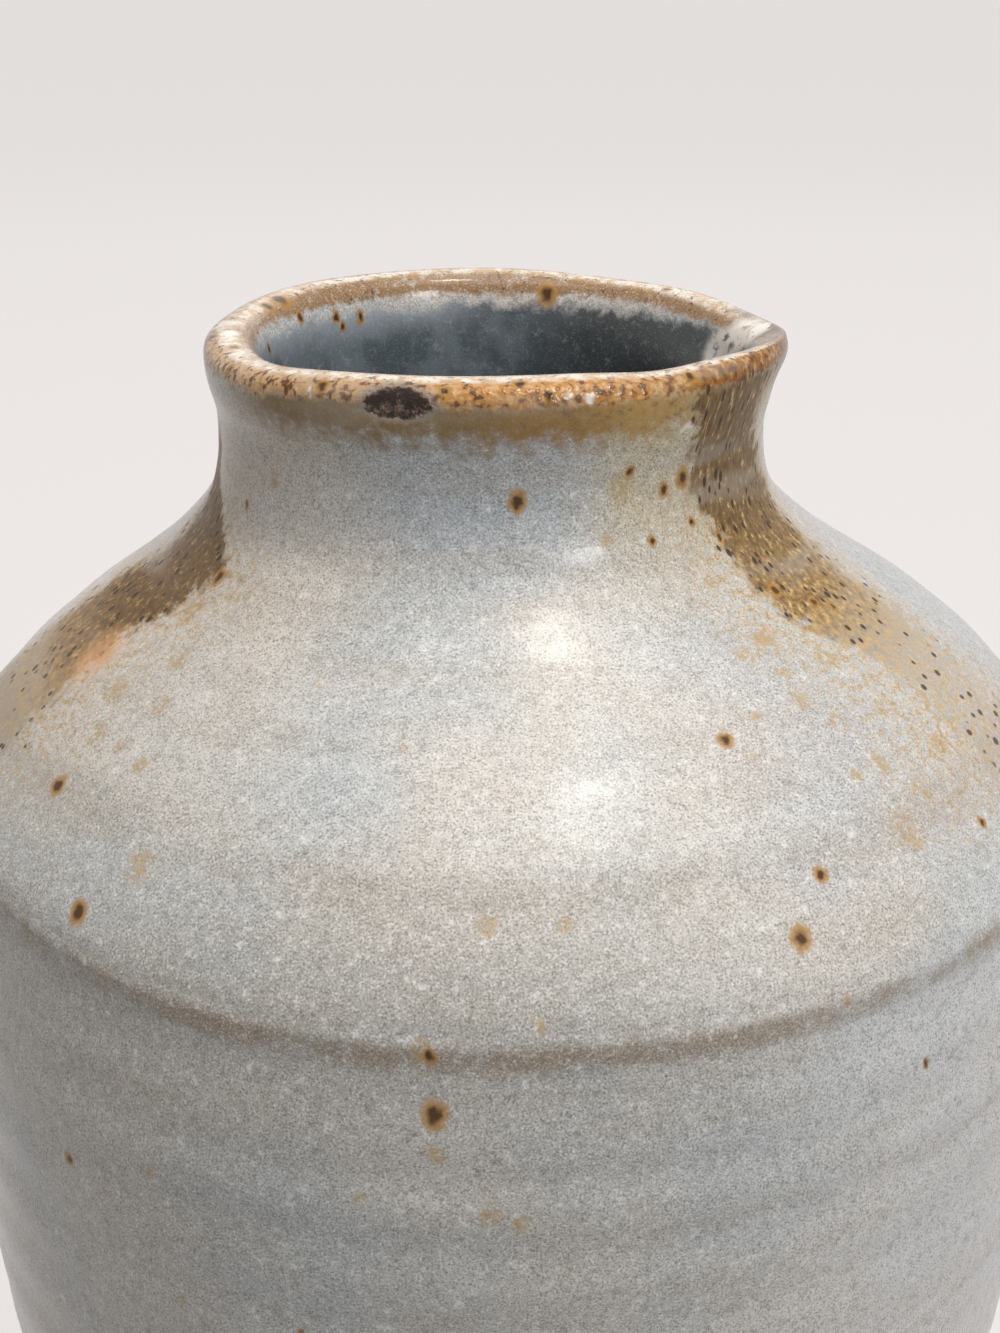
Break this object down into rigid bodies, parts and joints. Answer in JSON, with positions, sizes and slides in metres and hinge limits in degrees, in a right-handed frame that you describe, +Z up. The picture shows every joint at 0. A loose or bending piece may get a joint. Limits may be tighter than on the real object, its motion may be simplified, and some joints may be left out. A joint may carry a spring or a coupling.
{
  "type": "moon jar",
  "caption": "Round stoneware jar of thrown bowls joined at the belly, with a short flared neck, a thick rolled lip and a turned foot ring.",
  "frame": {"origin": "middle of the circle on which the foot ring stands", "axes": "+Z up along the axis of the jar through the middle of its mouth; X and Y are free because the jar is turned, and -Y is the side that the picture shows"},
  "size_m": [0.1684, 0.1684, 0.2],
  "materials": {
    "glazed_stoneware": "glossy grey-white glaze over iron-speckled stoneware",
    "bare_stoneware": "bare fired stoneware, matt",
    "joining_slip": "fired slip, matt"
  },
  "bodies": {
    "root": {"foot_ring": "bare_stoneware", "foot_slip": "joining_slip", "lower_bowl": "glazed_stoneware", "belly_slip": "joining_slip", "belly_coil": "glazed_stoneware", "upper_bowl": "glazed_stoneware", "neck_slip": "joining_slip", "neck_collar": "glazed_stoneware"}
  },
  "joints": []
}
